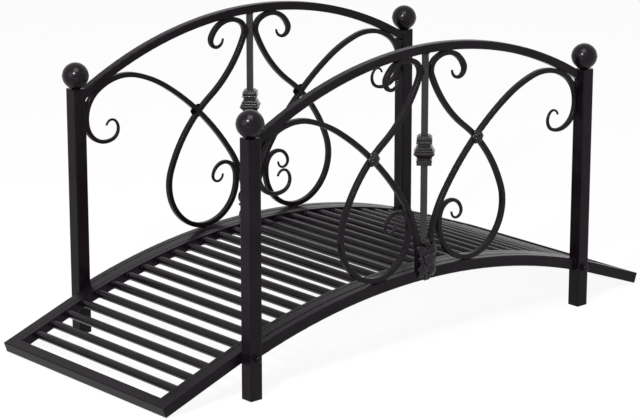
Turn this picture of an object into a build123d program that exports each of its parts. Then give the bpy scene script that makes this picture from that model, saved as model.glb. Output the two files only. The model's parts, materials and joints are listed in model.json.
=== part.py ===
from build123d import *
import math
import os

os.makedirs("parts", exist_ok=True)

# Garden footbridge of welded square tube: four ball-topped posts, two scrollwork side panels
# and an arched deck of round rungs. Millimetres, +X along the walk, +Z up, origin on the
# ground under the middle of the bridge. "Front" is the -Y side and "left" the -X side.

# Posts and their balls
post_side = 25.0
post_wall = 1.5
post_corner = 1.8
post_height = 446.0
post_spacing_x = 785.0
post_spacing_y = 475.0
post_plug_depth = 12.0
ball_diameter = 47.0
ball_sink = 0.7

# Panel rails between the posts
handrail_side = 15.0
handrail_crest = 545.0
handrail_drop = 101.0
lower_rail_width = 15.0
lower_rail_height = 20.0
rail_wall = 1.2
rail_corner = 1.6
panel_deck_gap = 1.0

# Deck frame
deck_tube_side = 20.0
deck_wall = 1.5
deck_corner = 1.8
deck_length = 1126.0
deck_tip_height = 3.0
deck_crest = 128.0
ramp_angle = 20.0
ledge_width = 9.0
ledge_height = 17.0
ledge_corner = 1.0
mitre_over = 3.0

# Rungs
rung_count = 31
rung_diameter = 15.0
rung_wall = 1.2

# Centre bars, set on the diamond, and their square cast collars: each tier of a collar has
# the side of its square at the bottom and at the top, and its height
centre_bar_side = 12.0
centre_bar_corner = 0.8
collar_foot = 334.0
collar_core = 20.0
collar_edge = 1.3
collar_tiers = [
    (26.0, 26.0, 4.8), (27.0, 27.0, 4.8), (21.5, 21.5, 3.0), (22.0, 34.0, 7.0), (36.0, 36.0, 3.8),
    (31.5, 31.5, 4.2), (28.0, 28.0, 4.4), (21.5, 21.5, 6.6), (27.6, 27.6, 3.2), (26.5, 26.5, 6.4),
    (26.5, 13.5, 3.5),
]

# Scrolls: square bar bent into tangent arcs, each a radius and a turn in degrees, and drawn
# out to a thin round tip at a curled end
scroll_bar = 9.0
scroll_corner = 0.9
scroll_tip = 3.8
tip_roundness = 0.46
weld_gap = 0.05
inner_scroll_start = (63.9, 490.8)
inner_scroll_heading = -89.4
inner_scroll_turns = [
    (14.5, 105.3), (14.1, 98.2), (46.8, 98.8), (22.1, 79.8), (240.3, 31.3), (261.7, -34.4),
    (87.7, -81.1), (75.4, -121.6), (37.3, -33.8), (26.7, -126.2), (11.7, -200.0),
]
inner_scroll_tapers = (2, 3)
outer_scroll_start = (330.5, 369.6)
outer_scroll_heading = 103.8
outer_scroll_turns = [
    (12.2, 122.0), (19.6, 116.0), (43.7, 98.6), (61.1, 64.0), (101.8, 51.8), (253.0, 16.5),
    (524.8, 23.1), (205.5, 34.2),
]
outer_scroll_tapers = (3, 0)

# Castings on the outside of each panel
rosette_diameter = 27.0
rosette_thickness = 10.0
rosette_petals = 6
flower_height = 80.0
flower_width = 38.0
flower_thickness = 16.0
flower_foot = 3.0

# Places that follow from the sizes above
post_x = post_spacing_x / 2
post_y = post_spacing_y / 2
inner_face_x = post_x - post_side / 2
inner_face_y = post_y - post_side / 2
lower_rail_y = inner_face_y + panel_deck_gap + lower_rail_width / 2
panel_y = lower_rail_y
deck_outer_y = inner_face_y
deck_inner_y = deck_outer_y - deck_tube_side
ledge_inner_y = deck_inner_y - ledge_width
centre_bar_reach = centre_bar_side / math.sqrt(2)

# The arch radius of the deck's underside that meets both ramps smoothly
slope = math.radians(ramp_angle)
half_deck = deck_length / 2
deck_radius = (half_deck * math.tan(slope) - (deck_crest - deck_tip_height)) / (
    math.sin(slope) * math.tan(slope) - (1 - math.cos(slope))
)
arch_centre_z = deck_crest - deck_radius
ramp_length = (half_deck - deck_radius * math.sin(slope)) / math.cos(slope)

handrail_radius = (inner_face_x**2 + handrail_drop**2) / (2 * handrail_drop)
handrail_centre_z = handrail_crest - handrail_radius

# Rungs share the walk evenly between the two end bars
rung_line = deck_radius + deck_tube_side / 2
half_walk = rung_line * slope + ramp_length - deck_tube_side
half_count = rung_count // 2
rung_pitch = half_walk / (half_count + 1)


def save(node, shape):
    solids = shape.solids()
    body = solids[0] if len(solids) == 1 else Compound(children=list(solids))
    export_step(body, f"parts/{node}.step")


def across(sketch, width, y=0.0):
    """Turns a side-view sketch (x, z) into a solid of this width, centred on y."""
    return Pos(0, y, 0) * extrude(Plane.XZ * sketch, width / 2, both=True)


def tube_section(width, height, corner, wall):
    return RectangleRounded(width, height, corner) - Rectangle(width - 2 * wall, height - 2 * wall)


def at_crest(section, y, z):
    """Stands a section up across the walk: its x is +Y and its y is +Z."""
    return Plane(origin=(0, y, z), x_dir=(0, 1, 0), z_dir=(1, 0, 0)) * section


def arch(section, centre_z, angle):
    """Carries a section at the crest this many degrees down each side of an arch."""
    axis = Axis((0, 0, centre_z), (0, 1, 0))
    return revolve(section.rotate(axis, -angle), axis=axis, revolution_arc=2 * angle)


def post():
    tube = extrude(RectangleRounded(post_side, post_side, post_corner), post_height)
    inner_side = post_side - 2 * post_wall
    return tube - extrude(Rectangle(inner_side, inner_side), post_height - post_wall)


def foot_plug():
    inner_side = post_side - 2 * post_wall
    return extrude(Rectangle(inner_side, inner_side), post_plug_depth)


def ball():
    radius = ball_diameter / 2
    sphere = Pos(0, 0, post_height + radius - ball_sink) * Sphere(radius)
    return split(sphere, Plane((0, 0, post_height)), keep=Keep.TOP)


def rail(radius_high, height, width, centre_z, y):
    """An arched tube cut upright at the inner faces of the posts."""
    section = at_crest(tube_section(width, height, rail_corner, rail_wall), y, centre_z + radius_high - height / 2)
    angle = math.degrees(math.asin(post_x / (radius_high - height)))
    between_posts = Box(2 * inner_face_x, 2 * post_spacing_y, 2 * handrail_crest)
    return arch(section, centre_z, angle) & between_posts


def rail_band(radius_low, radius_high, centre_z):
    """The side view of a rail, as a cutter for what is coped to it."""
    window = Pos(0, radius_high) * Rectangle(2 * inner_face_x, radius_high)
    return Pos(0, centre_z) * ((Circle(radius_high) - Circle(radius_low)) & window)


def handrail_cutter():
    inner_radius = handrail_radius - handrail_side
    return across(rail_band(inner_radius, handrail_radius, handrail_centre_z), 4 * handrail_side)


def lower_rail_cutter():
    outer_radius = deck_radius + lower_rail_height
    return across(rail_band(deck_radius, outer_radius, arch_centre_z), 4 * lower_rail_width)


def deck_run(section, shortening=0.0):
    """Carries a section at the crest along the arch and straight down both ramps."""
    foot = section.rotate(Axis((0, 0, arch_centre_z), (0, 1, 0)), ramp_angle)
    ramp = extrude(foot, ramp_length - shortening, dir=(math.cos(slope), 0, -math.sin(slope)))
    return arch(section, arch_centre_z, ramp_angle) + ramp + mirror(ramp, Plane.YZ)


# The deck's right end seen square to the ramp: x runs up the ramp, y to the front
right_end = Plane(
    origin=(half_deck, 0, deck_tip_height),
    x_dir=(-math.cos(slope), 0, math.sin(slope)),
    z_dir=(math.sin(slope), 0, math.cos(slope)),
)


def mitre_wedge(third_corner):
    """What lies on one side of the 45 degree mitre at the front of the right end."""
    over = mitre_over
    across_line = [(-over, deck_outer_y + over), (deck_tube_side + over, deck_inner_y - over)]
    triangle = make_face(Polyline(*across_line, third_corner, close=True))
    return Pos(0, 0, -over) * extrude(triangle, deck_tube_side + 2 * over)


def deck_side():
    section = at_crest(
        tube_section(deck_tube_side, deck_tube_side, deck_corner, deck_wall),
        -deck_outer_y + deck_tube_side / 2, deck_crest + deck_tube_side / 2,
    )
    cutter = right_end * mitre_wedge((-mitre_over, deck_inner_y - mitre_over))
    return deck_run(section) - cutter - mirror(cutter, Plane.YZ)


def deck_end():
    section = Pos(deck_tube_side / 2, deck_tube_side / 2) * tube_section(
        deck_tube_side, deck_tube_side, deck_corner, deck_wall
    )
    cutter = mitre_wedge((deck_tube_side + mitre_over, deck_outer_y + mitre_over))
    return right_end * (across(section, 2 * deck_outer_y) - cutter - mirror(cutter, Plane.XZ))


def ledge():
    section = at_crest(
        tube_section(ledge_width, ledge_height, ledge_corner, rail_wall),
        -deck_inner_y + ledge_width / 2, deck_crest + deck_tube_side - ledge_height / 2,
    )
    return deck_run(section, shortening=deck_tube_side)


def rung_place(distance):
    """The point this far along the rungs' line from the crest."""
    along = min(abs(distance), rung_line * slope)
    angle = along / rung_line
    straight = abs(distance) - along
    x = rung_line * math.sin(angle) + straight * math.cos(slope)
    z = arch_centre_z + rung_line * math.cos(angle) - straight * math.sin(slope)
    return math.copysign(x, distance), z


def rung(distance):
    x, z = rung_place(distance)
    length = 2 * ledge_inner_y
    tube = Cylinder(rung_diameter / 2, length) - Cylinder(rung_diameter / 2 - rung_wall, length)
    return Pos(x, 0, z) * Rot(90, 0, 0) * tube


def bends_of(start, heading, turns):
    """Each bend as its first point, heading, radius, turn, centre and last point, in (x, z)."""
    bends = []
    for radius, turn in turns:
        to_centre = math.radians(heading + math.copysign(90, turn))
        from_centre = to_centre + math.pi + math.radians(turn)
        centre = (start[0] + radius * math.cos(to_centre), start[1] + radius * math.sin(to_centre))
        last = (centre[0] + radius * math.cos(from_centre), centre[1] + radius * math.sin(from_centre))
        bends.append((start, heading, radius, turn, centre, last))
        start = last
        heading += turn
    return bends


def sides_of(turns, tapers):
    """The bar's side at each joint of the bends, and how far it is from tip to full bar."""
    lengths = [radius * math.radians(abs(turn)) for radius, turn in turns]
    grow = sum(lengths[:tapers[0]])
    shrink = sum(lengths[len(turns) - tapers[1]:])
    shares = []
    for joint in range(len(turns) + 1):
        from_tip = sum(lengths[:joint]) / grow if grow else 1.0
        to_tip = sum(lengths[joint:]) / shrink if shrink else 1.0
        shares.append(min(1.0, from_tip, to_tip))
    return shares


def bar_section(point, heading, share):
    side = scroll_tip + (scroll_bar - scroll_tip) * share
    corner = scroll_corner + (tip_roundness * side - scroll_corner) * (1 - share)
    direction = math.radians(heading)
    plane = Plane(
        origin=(point[0], 0, point[1]), x_dir=(0, 1, 0), z_dir=(math.cos(direction), 0, math.sin(direction))
    )
    return plane * RectangleRounded(side, side, corner)


def bend_solid(bend, share_in, share_out):
    start, heading, radius, turn, centre, last = bend
    first = bar_section(start, heading, share_in)
    if share_in == share_out:
        axis = Axis((centre[0], 0, centre[1]), (0, -math.copysign(1, turn), 0))
        return revolve(first, axis=axis, revolution_arc=abs(turn))
    direction = math.radians(heading)
    arc = Plane.XZ * JernArc(start, (math.cos(direction), math.sin(direction)), radius, turn)
    return sweep([first, bar_section(last, heading + turn, share_out)], path=arc, multisection=True)


def scroll(start, heading, turns, tapers):
    shares = sides_of(turns, tapers)
    bends = bends_of(start, heading, turns)
    solids = [bend_solid(*job) for job in zip(bends, shares, shares[1:])]
    return solids[0].fuse(*solids[1:])


def bar_outline(start, heading, turns, tapers):
    """Points along the middle of the bar, each with half the bar's side there."""
    steps = 60
    outline = []
    shares = sides_of(turns, tapers)
    for bend, share_in, share_out in zip(bends_of(start, heading, turns), shares, shares[1:]):
        centre, radius, turn = bend[4], bend[2], bend[3]
        first = math.atan2(bend[0][1] - centre[1], bend[0][0] - centre[0])
        for step in range(steps + 1):
            part = step / steps
            angle = first + math.radians(turn) * part
            share = share_in + (share_out - share_in) * part
            half = (scroll_tip + (scroll_bar - scroll_tip) * share) / 2
            outline.append((centre[0] + radius * math.cos(angle), centre[1] + radius * math.sin(angle), half))
    return outline


def gap_to_handrail(outline):
    inner_radius = handrail_radius - handrail_side
    return min(inner_radius - math.hypot(x, z - handrail_centre_z) - half for x, z, half in outline)


def gap_to_lower_rail(outline):
    outer_radius = deck_radius + lower_rail_height
    return min(math.hypot(x, z - arch_centre_z) - half - outer_radius for x, z, half in outline)


def gap_to_centre_bar(outline):
    return min(x - half for x, z, half in outline) - centre_bar_reach


def gap_to_post(outline):
    return inner_face_x - max(x + half for x, z, half in outline)


def seated_inner():
    """Fits the inner scroll between the rails and against the centre bar, by size and place."""
    (x, z), size = inner_scroll_start, 1.0
    height = handrail_crest - handrail_side - deck_crest - lower_rail_height
    for _ in range(60):
        turns = [(radius * size, turn) for radius, turn in inner_scroll_turns]
        outline = bar_outline((x, z), inner_scroll_heading, turns, inner_scroll_tapers)
        above = gap_to_handrail(outline) - weld_gap
        below = gap_to_lower_rail(outline) - weld_gap
        x -= gap_to_centre_bar(outline) - weld_gap
        z += (above - below) / 2
        size *= 1 + (above + below) / height
    return (x, z), inner_scroll_heading, turns, inner_scroll_tapers


def seated_outer():
    """Fits the outer scroll between post and centre bar and up against the handrail."""
    (x, z), size = outer_scroll_start, 1.0
    width = inner_face_x - centre_bar_reach
    for _ in range(60):
        turns = [(radius * size, turn) for radius, turn in outer_scroll_turns]
        outline = bar_outline((x, z), outer_scroll_heading, turns, outer_scroll_tapers)
        outward = gap_to_post(outline) - weld_gap
        inward = gap_to_centre_bar(outline) - weld_gap
        x += (outward - inward) / 2
        z += gap_to_handrail(outline) - weld_gap
        size *= 1 + (outward + inward) / width
    return (x, z), outer_scroll_heading, turns, outer_scroll_tapers


def scroll_foot(last_bend):
    """The straight foot of the outer scroll, down the centre bar to the lower rail."""
    start, heading, radius, turn, centre, last = last_bend
    foot = extrude(bar_section(last, heading + turn, 1.0), last[1] - deck_crest)
    return foot - lower_rail_cutter()


def crossing_point(inner, outer):
    def edges(start, heading, turns):
        arcs = []
        for point, angle, radius, turn, centre, last in bends_of(start, heading, turns):
            direction = math.radians(angle)
            arcs.append(Edge(JernArc(point, (math.cos(direction), math.sin(direction)), radius, turn).wrapped))
        return arcs

    for a in edges(*inner[:3]):
        for b in edges(*outer[:3]):
            met = a.intersect(b)
            if met:
                spot = met[0] if isinstance(met, (list, ShapeList)) else met
                return spot.center() if hasattr(spot, "center") else spot
    raise ValueError("the scrolls don't cross")


def centre_bar():
    """A square bar on the diamond, its ends coped to the curved faces of the two rails."""
    section = RectangleRounded(centre_bar_side, centre_bar_side, centre_bar_corner)
    foot = deck_crest + lower_rail_height / 2
    top = handrail_crest - handrail_side / 2
    bar = Pos(0, 0, foot) * Rot(0, 0, 45) * extrude(section, top - foot)
    return bar - handrail_cutter() - lower_rail_cutter()


def collar():
    """A square casting with stepped mouldings, the same from all four sides."""
    total = sum(height for low, high, height in collar_tiers)
    profile = Pos(0, total / 2) * Rectangle(collar_core, total)
    z = 0.0
    for low, high, height in collar_tiers:
        if low == high:
            profile += Pos(0, z + height / 2) * RectangleRounded(low, height, collar_edge)
        else:
            profile += make_face(
                Polyline((-low / 2, z), (low / 2, z), (high / 2, z + height), (-high / 2, z + height), close=True)
            )
        z += height
    widest = max(low for low, high, height in collar_tiers)
    block = across(profile, 2 * widest)
    moulded = block & (Rot(0, 0, 90) * block)
    hole = Box(centre_bar_side, centre_bar_side, 2 * total)
    return Pos(0, 0, collar_foot) * Rot(0, 0, 45) * (moulded - hole - Pos(0, 0, total / 2) * hole)


def bloom(diameter, thickness, petals):
    """A cast flower, face up on the XY plane: two rings of round petals and a domed eye."""
    outer_petal = diameter * 0.2
    inner_petal = diameter * 0.14
    flower = extrude(Circle(diameter * 0.35), thickness * 0.4)
    for spot in PolarLocations(diameter / 2 - outer_petal, petals):
        flower += spot * Sphere(outer_petal)
    lift = thickness - 1.6 * inner_petal
    for spot in PolarLocations(diameter * 0.19, petals, start_angle=180 / petals):
        flower += Pos(0, 0, lift) * spot * Sphere(inner_petal)
    flower += Pos(0, 0, lift) * Sphere(inner_petal * 1.3)
    return split(flower, Plane.XY, keep=Keep.TOP)


def leaf(length, width, thickness):
    """A cast leaf on the XY plane from the origin along +Y, domed, with a groove down its middle."""
    radius = (length**2 / 4 + width**2 / 4) / width
    shift = radius - width / 2
    outline = Pos(0, length / 2) * ((Pos(shift, 0) * Circle(radius)) & (Pos(-shift, 0) * Circle(radius)))
    dome_radius = (length**2 / 4 + thickness**2) / (2 * thickness)
    dome = Pos(0, length / 2, thickness - dome_radius) * Sphere(dome_radius)
    groove = Pos(0, length / 2, thickness) * Rot(0, 45, 0) * Box(1.4, length, 1.4)
    return (extrude(outline, thickness) & dome) - groove


def bottom_flower():
    """The casting at the foot of the centre bar, face up on the XY plane, its foot at y = 0."""
    body = Pos(0, flower_height * 0.52, 0) * bloom(flower_width, flower_thickness, 8)
    body += Pos(0, flower_height * 0.45, 0) * extrude(Ellipse(flower_width * 0.2, flower_height * 0.4), 4.0)
    body += Pos(0, flower_height * 0.13, 0) * bloom(flower_width * 0.5, flower_thickness * 0.6, 6)
    for turn in (-150, -35, 35, 150):
        body += Pos(0, flower_height * 0.48, 0) * Rot(0, 0, turn) * leaf(flower_height * 0.45, flower_width * 0.5, 7.0)
    body += Pos(0, flower_height * 0.88, 0) * bloom(flower_width * 0.45, flower_thickness * 0.5, 6)
    return body


post_shape = post()
plug_shape = foot_plug()
ball_shape = ball()
for row, y in (("front", -post_y), ("rear", post_y)):
    for end, x in (("left", -post_x), ("right", post_x)):
        save(f"post_{row}_{end}", Pos(x, y, 0) * post_shape)
        save(f"post_plug_{row}_{end}", Pos(x, y, 0) * plug_shape)
        save(f"ball_{row}_{end}", Pos(x, y, 0) * ball_shape)

front_side = deck_side()
front_ledge = ledge()
end_bar = deck_end()
save("deck_side_front", front_side)
save("deck_side_rear", mirror(front_side, Plane.XZ))
save("deck_ledge_front", front_ledge)
save("deck_ledge_rear", mirror(front_ledge, Plane.XZ))
save("deck_end_right", end_bar)
save("deck_end_left", mirror(end_bar, Plane.YZ))

places = [rung_pitch * k for k in range(-half_count, half_count + 1)]
quarter = math.ceil(rung_count / 4)
for index, name in enumerate(("left_ramp", "left_arch", "right_arch", "right_ramp")):
    group = places[index * quarter:(index + 1) * quarter]
    save(f"rungs_{name}", Compound(children=[rung(place) for place in group]))

inner_fit = seated_inner()
outer_fit = seated_outer()
inner = scroll(*inner_fit)
outer = scroll(*outer_fit) + scroll_foot(bends_of(*outer_fit[:3])[-1]) - inner
cross = crossing_point(inner_fit, outer_fit)

# Everything of a panel stands on its middle plane, and faces the front
panel = Pos(0, -panel_y, 0)
outward = Plane(origin=(0, 0, 0), x_dir=(1, 0, 0), z_dir=(0, -1, 0))
bar = panel * centre_bar()
rosette = bloom(rosette_diameter, rosette_thickness, rosette_petals)
small_flower = panel * Pos(cross.X, -scroll_bar / 2, cross.Y) * (outward * rosette)
large_flower = panel * Pos(0, -lower_rail_width / 2, deck_crest - flower_foot) * (outward * bottom_flower()) - bar

pieces = {
    "handrail": rail(handrail_radius, handrail_side, handrail_side, handrail_centre_z, -panel_y),
    "lower_rail": rail(deck_radius + lower_rail_height, lower_rail_height, lower_rail_width, arch_centre_z, -panel_y),
    "centre_bar": bar,
    "centre_collar": panel * collar(),
    "bottom_flower": large_flower,
}
paired = {"inner_scroll": panel * inner, "outer_scroll": panel * outer, "rosette": small_flower}
for name, shape in pieces.items():
    save(f"{name}_front", shape)
    save(f"{name}_rear", mirror(shape, Plane.XZ))
for name, shape in paired.items():
    save(f"{name}_front_right", shape)
    save(f"{name}_front_left", mirror(shape, Plane.YZ))
    save(f"{name}_rear_right", mirror(shape, Plane.XZ))
    save(f"{name}_rear_left", mirror(mirror(shape, Plane.XZ), Plane.YZ))
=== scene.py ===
import json
import math

import bmesh
import bpy
from mathutils import Matrix, Vector


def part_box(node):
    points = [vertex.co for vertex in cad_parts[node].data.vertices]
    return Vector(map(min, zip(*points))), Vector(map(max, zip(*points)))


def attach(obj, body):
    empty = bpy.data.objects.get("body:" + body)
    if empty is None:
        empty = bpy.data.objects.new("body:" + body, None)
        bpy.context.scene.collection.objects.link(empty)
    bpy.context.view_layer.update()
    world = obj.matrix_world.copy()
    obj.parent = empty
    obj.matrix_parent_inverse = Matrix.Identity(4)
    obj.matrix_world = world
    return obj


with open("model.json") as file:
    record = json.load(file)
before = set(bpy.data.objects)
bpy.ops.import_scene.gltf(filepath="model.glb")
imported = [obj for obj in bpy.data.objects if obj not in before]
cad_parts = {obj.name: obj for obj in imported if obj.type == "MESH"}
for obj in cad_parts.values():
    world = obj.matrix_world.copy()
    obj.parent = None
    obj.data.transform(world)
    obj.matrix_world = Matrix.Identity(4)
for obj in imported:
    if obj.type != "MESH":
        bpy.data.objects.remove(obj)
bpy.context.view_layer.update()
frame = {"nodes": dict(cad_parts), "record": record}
print("frame loaded:", len(frame["nodes"]), "nodes")

# Sizes in metres. Front is -Y, left is -X, as in the frame.
rows = {"front": -1, "rear": 1}
ends = {"left": -1, "right": 1}
panelY = sum(corner[1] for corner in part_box("handrail_rear")) / 2


def deselect():
    bpy.ops.object.select_all(action="DESELECT")


def only(piece):
    deselect()
    piece.select_set(True)
    bpy.context.view_layer.objects.active = piece


def hexToLinear(code):
    values = [int(code[i:i + 2], 16) / 255 for i in (1, 3, 5)]
    return [v / 12.92 if v <= 0.04045 else ((v + 0.055) / 1.055) ** 2.4 for v in values] + [1]


def addNode(tree, kind, settings=None, inputs=None, links=None):
    node = tree.nodes.new(kind)
    for name, value in (settings or {}).items():
        setattr(node, name, value)
    for name, value in (inputs or {}).items():
        node.inputs[name].default_value = value
    for name, source in (links or {}).items():
        tree.links.new(source, node.inputs[name])
    return node


def newMaterial(name):
    material = bpy.data.materials.new(name)
    material.use_nodes = True
    tree = material.node_tree
    tree.nodes.clear()
    output = tree.nodes.new("ShaderNodeOutputMaterial")
    return material, tree, output


# Satin black powder coat, baked polyester powder sprayed on steel: a near-black skin that
# catches a broad soft light, over an orange peel of shallow bumps, thin and soft at edges.
# A real peel is about 1.5 mm from bump to bump; it is drawn at 3 mm so that it shows. The
# coat's own IOR is about 1.5. A lower one gives flat tube its near-black in an all-white studio.
powderCoat = {
    "colour": "#090409",
    "dusty": "#100b10",
    "cleanUpTo": 0.35,
    "dustyFrom": 0.75,
    "ior": 1.2,
    "roughness": 0.27,
    "smootherBy": 0.06,
    "rougherBy": 0.08,
    "patchSize": 0.045,
    "peelSize": 0.003,
    "peelHeight": 0.00005,
    "peelStrength": 0.7,
    "edgeRadius": 0.0011,
    "edgeSamples": 6,
}


def coatMaterial(name, look):
    material, tree, output = newMaterial(name)
    place = addNode(tree, "ShaderNodeTexCoord").outputs["Object"]
    cloud = addNode(
        tree, "ShaderNodeTexNoise",
        inputs={"Scale": 1 / look["patchSize"], "Detail": 3.0}, links={"Vector": place},
    )
    peel = addNode(
        tree, "ShaderNodeTexNoise",
        inputs={"Scale": 1 / look["peelSize"], "Detail": 2.0}, links={"Vector": place},
    )
    ramp = addNode(tree, "ShaderNodeValToRGB", links={"Fac": cloud.outputs["Fac"]})
    stops = ((look["cleanUpTo"], look["colour"]), (look["dustyFrom"], look["dusty"]))
    for element, (position, colour) in zip(ramp.color_ramp.elements, stops):
        element.position = position
        element.color = hexToLinear(colour)
    rough = addNode(
        tree, "ShaderNodeMapRange",
        inputs={
            "To Min": look["roughness"] - look["smootherBy"],
            "To Max": look["roughness"] + look["rougherBy"],
        },
        links={"Value": cloud.outputs["Fac"]},
    )
    edge = addNode(
        tree, "ShaderNodeBevel",
        settings={"samples": look["edgeSamples"]}, inputs={"Radius": look["edgeRadius"]},
    )
    bump = addNode(
        tree, "ShaderNodeBump",
        inputs={"Strength": look["peelStrength"], "Distance": look["peelHeight"]},
        links={"Height": peel.outputs["Fac"], "Normal": edge.outputs["Normal"]},
    )
    shader = addNode(
        tree, "ShaderNodeBsdfPrincipled", inputs={"IOR": look["ior"]},
        links={
            "Base Color": ramp.outputs["Color"],
            "Roughness": rough.outputs["Result"],
            "Normal": bump.outputs["Normal"],
        },
    )
    tree.links.new(shader.outputs["BSDF"], output.inputs["Surface"])
    return material


# Each slot's coat: where it lies, and how it departs from the powder coat above. Balls,
# rungs and castings shine a little more than flat tube.
coatedParts = {
    "frame_paint": ("tube", {}),
    "ball_paint": ("ball", {"ior": 1.26, "roughness": 0.2}),
    "scroll_paint": ("scroll", {"ior": 1.22}),
    "rung_paint": ("rung", {"ior": 1.27, "roughness": 0.22}),
    "casting_paint": ("casting", {"ior": 1.34, "roughness": 0.2}),
}
coats = {
    slot: coatMaterial(f"satin_black_powder_coat_{part}", dict(powderCoat, **changes))
    for slot, (part, changes) in coatedParts.items()
}

# The centre bars shine more than any tube.
glossyBar = {"ior": 1.5, "roughness": 0.28, "peelHeight": 0.00003, "edgeRadius": 0.0006}
# The cast collars shine nearly as much, with wide soft edges that catch the light from above.
glossyCollar = {"ior": 1.4, "roughness": 0.2, "peelHeight": 0.00001, "edgeRadius": 0.0012}
barCoat = coatMaterial("gloss_black_powder_coat_bar", dict(powderCoat, **glossyBar))
collarCoat = coatMaterial("gloss_black_powder_coat_collar", dict(powderCoat, **glossyCollar))
ownCoats = {}
for row in rows:
    ownCoats[f"centre_bar_{row}"] = barCoat
    ownCoats[f"centre_collar_{row}"] = collarCoat

# Polythene plug, injection moulded: dull black with a spark-eroded grain. A real grain is
# under 0.1 mm; it is drawn at 0.7 mm so that it shows.
plug = {
    "colour": "#101010", "roughness": 0.6, "grainSize": 0.0007, "grainHeight": 0.00004,
    "grainStrength": 0.5,
}


def plugMaterial(name, look):
    material, tree, output = newMaterial(name)
    place = addNode(tree, "ShaderNodeTexCoord").outputs["Object"]
    grain = addNode(
        tree, "ShaderNodeTexNoise",
        inputs={"Scale": 1 / look["grainSize"], "Detail": 2.0}, links={"Vector": place},
    )
    bump = addNode(
        tree, "ShaderNodeBump",
        inputs={"Strength": look["grainStrength"], "Distance": look["grainHeight"]},
        links={"Height": grain.outputs["Fac"]},
    )
    shader = addNode(
        tree, "ShaderNodeBsdfPrincipled",
        inputs={"Base Color": hexToLinear(look["colour"]), "Roughness": look["roughness"]},
        links={"Normal": bump.outputs["Normal"]},
    )
    tree.links.new(shader.outputs["BSDF"], output.inputs["Surface"])
    return material


coats["foot_plug"] = plugMaterial("matt_black_polythene_plug", plug)

slots = {item["node"]: item["material_slot"] for item in frame["record"]["subparts"]}
for name, node in frame["nodes"].items():
    node.data.materials.clear()
    node.data.materials.append(ownCoats.get(name, coats[slots[name]]))
print("materials on", len(slots), "nodes")


def joinPieces(name, parts, slot, smooth=40):
    deselect()
    for part in parts:
        part.select_set(True)
    bpy.context.view_layer.objects.active = parts[0]
    if len(parts) > 1:
        bpy.ops.object.join()
    piece = bpy.context.object
    piece.name = name
    piece.data.materials.clear()
    piece.data.materials.append(coats[slot])
    only(piece)
    bpy.ops.object.shade_smooth_by_angle(angle=math.radians(smooth))
    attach(piece, "root")
    return piece


def copyTo(pattern, place, pose=Matrix.Identity(4)):
    copy = pattern.copy()
    copy.data = pattern.data.copy()  # each copy has its own mesh
    copy.data.transform(Matrix.Translation(place) @ pose)
    bpy.context.collection.objects.link(copy)
    return copy


def discard(*patterns):
    for pattern in patterns:
        bpy.data.objects.remove(pattern, do_unlink=True)


# Round-headed bolts with washers hold the deck to each post, from outside.
bolt = {
    "height": 0.0735, "head": 0.0115, "dome": 0.0045, "collar": 0.0035,
    "washer": 0.016, "washerThick": 0.0015, "washerEdge": 0.0004, "facets": 40, "rings": 24,
    "flat": -0.9,  # faces that point down by more than this are the head's underside
}


def makeWasher():
    deselect()
    bpy.ops.mesh.primitive_cylinder_add(
        vertices=bolt["facets"], radius=bolt["washer"] / 2, depth=bolt["washerThick"],
    )
    washer = bpy.context.object
    washer.data.transform(Matrix.Translation((0, 0, bolt["washerThick"] / 2)))
    bevel = washer.modifiers.new("bevel", "BEVEL")
    bevel.width = bolt["washerEdge"]
    bevel.segments = 2
    bpy.ops.object.modifier_apply(modifier="bevel")
    return washer


def makeHead():
    deselect()
    radius = bolt["head"] / 2
    bpy.ops.mesh.primitive_uv_sphere_add(
        segments=bolt["facets"], ring_count=bolt["rings"], radius=radius,
    )
    head = bpy.context.object
    bpy.ops.object.mode_set(mode="EDIT")
    bpy.ops.mesh.bisect(plane_co=(0, 0, 0), plane_no=(0, 0, 1), clear_inner=True, use_fill=True)
    bpy.ops.mesh.select_all(action="SELECT")
    bpy.ops.transform.resize(value=(1, 1, bolt["dome"] / radius))
    bpy.ops.mesh.select_all(action="DESELECT")
    mesh = bmesh.from_edit_mesh(head.data)
    for face in mesh.faces:
        face.select = face.normal.z < bolt["flat"]
    bmesh.update_edit_mesh(head.data)
    bpy.ops.mesh.extrude_region_move(TRANSFORM_OT_translate={"value": (0, 0, -bolt["collar"])})
    bpy.ops.object.mode_set(mode="OBJECT")
    head.data.transform(Matrix.Translation((0, 0, bolt["washerThick"] + bolt["collar"])))
    return head


head, washer = makeHead(), makeWasher()
for row, side in rows.items():
    outward = Matrix.Rotation(math.radians(-90 * side), 4, "X")
    for end in ends:
        low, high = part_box(f"post_{row}_{end}")
        place = ((low[0] + high[0]) / 2, low[1] if side < 0 else high[1], bolt["height"])
        parts = [copyTo(part, place, outward) for part in (head, washer)]
        joinPieces(f"bolt_{row}_{end}", parts, "frame_paint")
discard(head, washer)
print("bolts made")

# Weld beads, lumpy and painted over: a ring of bead round each butt joint, and a short run
# of bead each side of a contact. Contacts are for the right half, as x, z, length and tilt.
weld = {
    "bead": 0.0016, "rungBead": 0.0011, "lump": 0.0007, "lumpSize": 0.0022,
    "boxy": 0.3, "facets": 64, "runFacets": 14, "runRings": 20, "smooth": 60,
    "postFace": 0.38, "railHalfWidth": 0.0075, "barHalf": 0.006, "barEnds": (0.1482, 0.5298),
    "railEnds": {"handrail": (0.42666, 0.44402), "lower_rail": (0.0686, 0.0894)},
    "scrollHalf": 0.0045,
    "contacts": [
        (0.0513, 0.5282, 0.013, -4), (0.1060, 0.1436, 0.014, -5), (0.0085, 0.4977, 0.011, 90),
        (0.3391, 0.4489, 0.016, -27), (0.3800, 0.3877, 0.013, 90), (0.0086, 0.1610, 0.02, 90),
        (0.0135, 0.1478, 0.008, 0),
    ],
}
lumps = bpy.data.textures.new("weld_lumps", "CLOUDS")
lumps.noise_scale = weld["lumpSize"]
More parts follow.
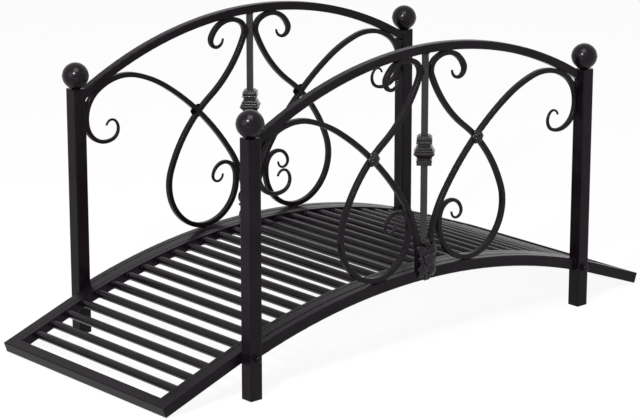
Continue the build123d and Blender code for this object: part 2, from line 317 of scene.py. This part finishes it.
# How a ring lies: round a bar along X, round an upright bar on the diamond, round a bar along Y
lieAcross = Matrix(((0, 0, 1, 0), (1, 0, 0, 0), (0, 1, 0, 0), (0, 0, 0, 1)))
lieUpright = Matrix.Rotation(math.radians(45), 4, "Z")
lieAlong = Matrix.Rotation(math.radians(90), 4, "X")


def roughen(piece):
    only(piece)
    displace = piece.modifiers.new("lumps", "DISPLACE")
    displace.texture = lumps
    displace.texture_coords = "GLOBAL"
    displace.strength = weld["lump"]
    bpy.ops.object.modifier_apply(modifier="lumps")


def makeRing(halfWidth, halfHeight, bead, facets, boxy=1.0):
    deselect()
    bpy.ops.mesh.primitive_circle_add(vertices=facets, radius=1)
    ring = bpy.context.object
    for vertex in ring.data.vertices:  # a power under 1 pulls the circle out to a square
        for axis, half in ((0, halfWidth), (1, halfHeight)):
            share = vertex.co[axis]
            vertex.co[axis] = half * math.copysign(abs(share) ** boxy, share)
    bpy.ops.object.convert(target="CURVE")
    ring = bpy.context.object
    ring.data.bevel_depth = bead
    ring.data.bevel_resolution = 1
    bpy.ops.object.convert(target="MESH")
    return bpy.context.object


def makeRun(length, bead):
    deselect()
    bpy.ops.mesh.primitive_uv_sphere_add(
        segments=weld["runFacets"], ring_count=weld["runRings"], radius=bead,
    )
    run = bpy.context.object
    bpy.ops.object.mode_set(mode="EDIT")
    bpy.ops.transform.resize(value=(1, 1, length / (2 * bead)))
    bpy.ops.object.mode_set(mode="OBJECT")
    return run


def makeBoxyRing(halfWidth, halfHeight):
    return makeRing(halfWidth, halfHeight, weld["bead"], weld["facets"], weld["boxy"])


railRings = [
    ((low + high) / 2, makeBoxyRing(weld["railHalfWidth"], (high - low) / 2))
    for low, high in weld["railEnds"].values()
]
runs = [(x, z, tilt, makeRun(length, weld["bead"])) for x, z, length, tilt in weld["contacts"]]
barRing = makeBoxyRing(weld["barHalf"], weld["barHalf"])
for row, side in rows.items():
    y = side * panelY
    beads = []
    for way in ends.values():
        for z, ring in railRings:
            beads.append(copyTo(ring, (way * weld["postFace"], y, z), lieAcross))
        for x, z, tilt, run in runs:
            lie = Matrix.Rotation(math.radians(90 - way * tilt), 4, "Y")
            for face in (-1, 1):
                beads.append(copyTo(run, (way * x, y + face * weld["scrollHalf"], z), lie))
    for z in weld["barEnds"]:
        beads.append(copyTo(barRing, (0, y, z), lieUpright))
    for bead in beads:
        roughen(bead)
    joinPieces(f"welds_{row}_panel", beads, "frame_paint", weld["smooth"])
discard(barRing, *(pattern[-1] for pattern in railRings + runs))
print("panel welds made")

# The rungs are welded to the ledges all round. The deck's curve repeats the frame's sizes: an
# arch that runs on into a straight ramp at each end, with the rungs on its tubes' middle line.
deck = {"length": 1.126, "tip": 0.003, "crest": 0.128, "rampAngle": 20.0, "tube": 0.02}
rungs = {"count": 31, "radius": 0.0075, "end": 0.1959, "facets": 28}
slope = math.radians(deck["rampAngle"])
halfDeck = deck["length"] / 2
deckRise = deck["crest"] - deck["tip"]
archRadius = (halfDeck * math.tan(slope) - deckRise) / (1 / math.cos(slope) - 1)
archCentre = deck["crest"] - archRadius
rungLine = archRadius + deck["tube"] / 2
rampLength = (halfDeck - archRadius * math.sin(slope)) / math.cos(slope)
halfCount = rungs["count"] // 2
rungPitch = (rungLine * slope + rampLength - deck["tube"]) / (halfCount + 1)


def rungPlace(distance):
    along = min(abs(distance), rungLine * slope)
    straight = abs(distance) - along
    angle = along / rungLine
    x = rungLine * math.sin(angle) + straight * math.cos(slope)
    z = archCentre + rungLine * math.cos(angle) - straight * math.sin(slope)
    return math.copysign(x, distance), z


rungRing = makeRing(rungs["radius"], rungs["radius"], weld["rungBead"], rungs["facets"])
for row, side in rows.items():
    beads = []
    for index in range(-halfCount, halfCount + 1):
        x, z = rungPlace(index * rungPitch)
        beads.append(copyTo(rungRing, (x, side * rungs["end"], z), lieAlong))
    roughen(joinPieces(f"welds_{row}_rungs", beads, "rung_paint", weld["smooth"]))
discard(rungRing)
print("rung welds made")

# Each ball is two pressed halves: a fine ridge shows at the seam, and a bead holds it down.
seam = {
    "radius": 0.0235, "height": 0.4688, "ridge": 0.0006, "facets": 96,
    "foot": 0.0063, "footHeight": 0.4464, "footFacets": 40,
}
ridge = makeRing(seam["radius"], seam["radius"], seam["ridge"], seam["facets"])
foot = makeRing(seam["foot"], seam["foot"], weld["bead"], seam["footFacets"])
for row in rows:
    for end in ends:
        low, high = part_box(f"post_{row}_{end}")
        x, y = (low[0] + high[0]) / 2, (low[1] + high[1]) / 2
        line = copyTo(ridge, (x, y, seam["height"]))
        bead = copyTo(foot, (x, y, seam["footHeight"]))
        roughen(bead)
        joinPieces(f"ball_seam_{row}_{end}", [line, bead], "ball_paint", weld["smooth"])
discard(ridge, foot)
print("ball seams made")

# Cast beading on the flowers: rings of grains, each a ring radius, number, grain size and turn
# in degrees round a place given as x and z on the panel. Grains sit on the casting's own face.
bloomRings = [
    (0.0, 1, 0.0022, 0), (0.0058, 8, 0.0014, 0), (0.0112, 8, 0.0019, 22.5), (0.0168, 8, 0.0021, 0),
]
leafRings = [(0.0, 1, 0.0014, 0), (0.0045, 5, 0.0011, 36)]
castings = {
    "flower": {
        "node": "bottom_flower_{row}",
        "spots": [
            (0.0, 0.1666, bloomRings),
            (0.0, 0.1354, [(0.0, 1, 0.0014, 0), (0.0034, 6, 0.0010, 0), (0.0078, 6, 0.0016, 30)]),
            (0.0, 0.1954, [(0.0, 1, 0.0014, 0), (0.0034, 6, 0.0010, 0), (0.0072, 6, 0.0017, 30)]),
            (0.0110, 0.1855, leafRings),
            (-0.0110, 0.1855, leafRings),
            (0.0110, 0.1440, leafRings),
            (-0.0110, 0.1440, leafRings),
        ],
    },
    "rosette": {
        "node": "rosette_{row}_right",
        "spots": [
            (0.12312, 0.36407, [
                (0.0, 1, 0.0017, 0), (0.0046, 6, 0.0012, 0), (0.0096, 6, 0.0018, 30),
            ]),
        ],
    },
}
lookFrom = 0.5  # metres from the middle of the deck, well outside the panels
holdsFrom = 0.2  # a grain holds where the face's normal points out by this or more

deselect()
bpy.ops.mesh.primitive_ico_sphere_add(subdivisions=2, radius=1)
grain = bpy.context.object


def makeGrains(name, casting, row, way):
    face = frame["nodes"][casting["node"].format(row=row)]
    side = rows[row]
    grains = []
    for x, z, rings in casting["spots"]:
        for radius, count, size, turn in rings:
            for index in range(count):
                angle = math.radians(turn + 360 * index / count)
                over = (x + radius * math.cos(angle), side * lookFrom, z + radius * math.sin(angle))
                hit, place, normal, polygon = face.ray_cast(over, (0, -side, 0))
                if hit and normal.y * side >= holdsFrom:
                    place = (way * place.x, place.y, place.z)
                    grains.append(copyTo(grain, place, Matrix.Scale(size, 4)))
    joinPieces(name, grains, "casting_paint", weld["smooth"])


for row in rows:
    makeGrains(f"flower_grains_{row}", castings["flower"], row, 1)
    for end, way in ends.items():
        makeGrains(f"rosette_grains_{row}_{end}", castings["rosette"], row, way)
discard(grain)
print("castings beaded")

# The photograph's view: azimuth and elevation in degrees, distance and target in metres.
view = {
    "azimuth": -41.34, "elevation": 15.56, "distance": 4.614, "target": (-0.0335, 0.0, 0.2094),
    "lens": 144.8, "sensor": 36, "farthest": 50,
}
azimuth, elevation = math.radians(view["azimuth"]), math.radians(view["elevation"])
level = math.cos(elevation)
away = Vector((math.sin(azimuth) * level, -math.cos(azimuth) * level, math.sin(elevation)))
deselect()
bpy.ops.object.camera_add(location=Vector(view["target"]) + away * view["distance"])
camera = bpy.context.object
camera.rotation_euler = away.to_track_quat("Z", "Y").to_euler()
camera.data.lens = view["lens"]
camera.data.sensor_width = view["sensor"]
camera.data.clip_end = view["farthest"]
bpy.context.scene.camera = camera

# Studio. The background is white to the camera and in reflections; the floor is white paper
# that keeps a share of its own shading, so the bridge still stands on a soft shadow.
studio = {
    "white": "#ffffff", "paper": "#f2f2f0", "glow": 0.92, "sky": 0.5, "floorSize": 30,
    "aim": (0, 0, 0.25),
    "boxes": {
        "key": {"place": (-2.12, -1.18, 1.96), "size": 0.32, "watts": 80},
        "top": {"place": (-0.9, -1.0, 3.0), "size": 1.6, "watts": 56},
        "left": {"place": (-3.0, -0.2, 1.2), "size": 1.6, "watts": 18},
    },
}


def seenRays(tree):
    rays = addNode(tree, "ShaderNodeLightPath")
    seen = rays.outputs["Is Camera Ray"]
    for kind in ("Is Glossy Ray", "Is Transmission Ray"):
        either = addNode(
            tree, "ShaderNodeMath",
            settings={"operation": "MAXIMUM"}, links={0: seen, 1: rays.outputs[kind]},
        )
        seen = either.outputs["Value"]
    return seen


def makeFloor():
    deselect()
    bpy.ops.mesh.primitive_plane_add(size=studio["floorSize"])
    floor = bpy.context.object
    floor.name = "floor"
    material, tree, output = newMaterial("pale_studio_floor")
    share = addNode(
        tree, "ShaderNodeMath",
        settings={"operation": "MULTIPLY"}, inputs={1: studio["glow"]}, links={0: seenRays(tree)},
    )
    paper = addNode(
        tree, "ShaderNodeBsdfDiffuse", inputs={"Color": hexToLinear(studio["paper"])},
    )
    glow = addNode(
        tree, "ShaderNodeEmission",
        inputs={"Color": hexToLinear(studio["white"]), "Strength": 1.0},
    )
    blend = addNode(
        tree, "ShaderNodeMixShader",
        links={
            "Fac": share.outputs["Value"], 1: paper.outputs["BSDF"], 2: glow.outputs["Emission"],
        },
    )
    tree.links.new(blend.outputs["Shader"], output.inputs["Surface"])
    floor.data.materials.append(material)


def makeSoftbox(name, box):
    deselect()
    bpy.ops.object.light_add(type="AREA", location=box["place"])
    lamp = bpy.context.object
    lamp.name = f"softbox_{name}"
    lamp.data.shape = "SQUARE"
    lamp.data.size = box["size"]
    lamp.data.energy = box["watts"]
    fromAim = Vector(box["place"]) - Vector(studio["aim"])
    lamp.rotation_euler = fromAim.to_track_quat("Z", "Y").to_euler()


def makeWorld():
    world = bpy.data.worlds.new("studio")
    bpy.context.scene.world = world
    world.use_nodes = True
    tree = world.node_tree
    tree.nodes.clear()
    output = tree.nodes.new("ShaderNodeOutputWorld")
    white = hexToLinear(studio["white"])
    skies = [
        addNode(tree, "ShaderNodeBackground", inputs={"Color": white, "Strength": strength})
        for strength in (studio["sky"], 1.0)
    ]
    blend = addNode(
        tree, "ShaderNodeMixShader",
        links={
            "Fac": seenRays(tree),
            1: skies[0].outputs["Background"], 2: skies[1].outputs["Background"],
        },
    )
    tree.links.new(blend.outputs["Shader"], output.inputs["Surface"])


makeFloor()
for name, box in studio["boxes"].items():
    makeSoftbox(name, box)
makeWorld()
bpy.context.scene.view_settings.view_transform = "Standard"
print("studio ready")
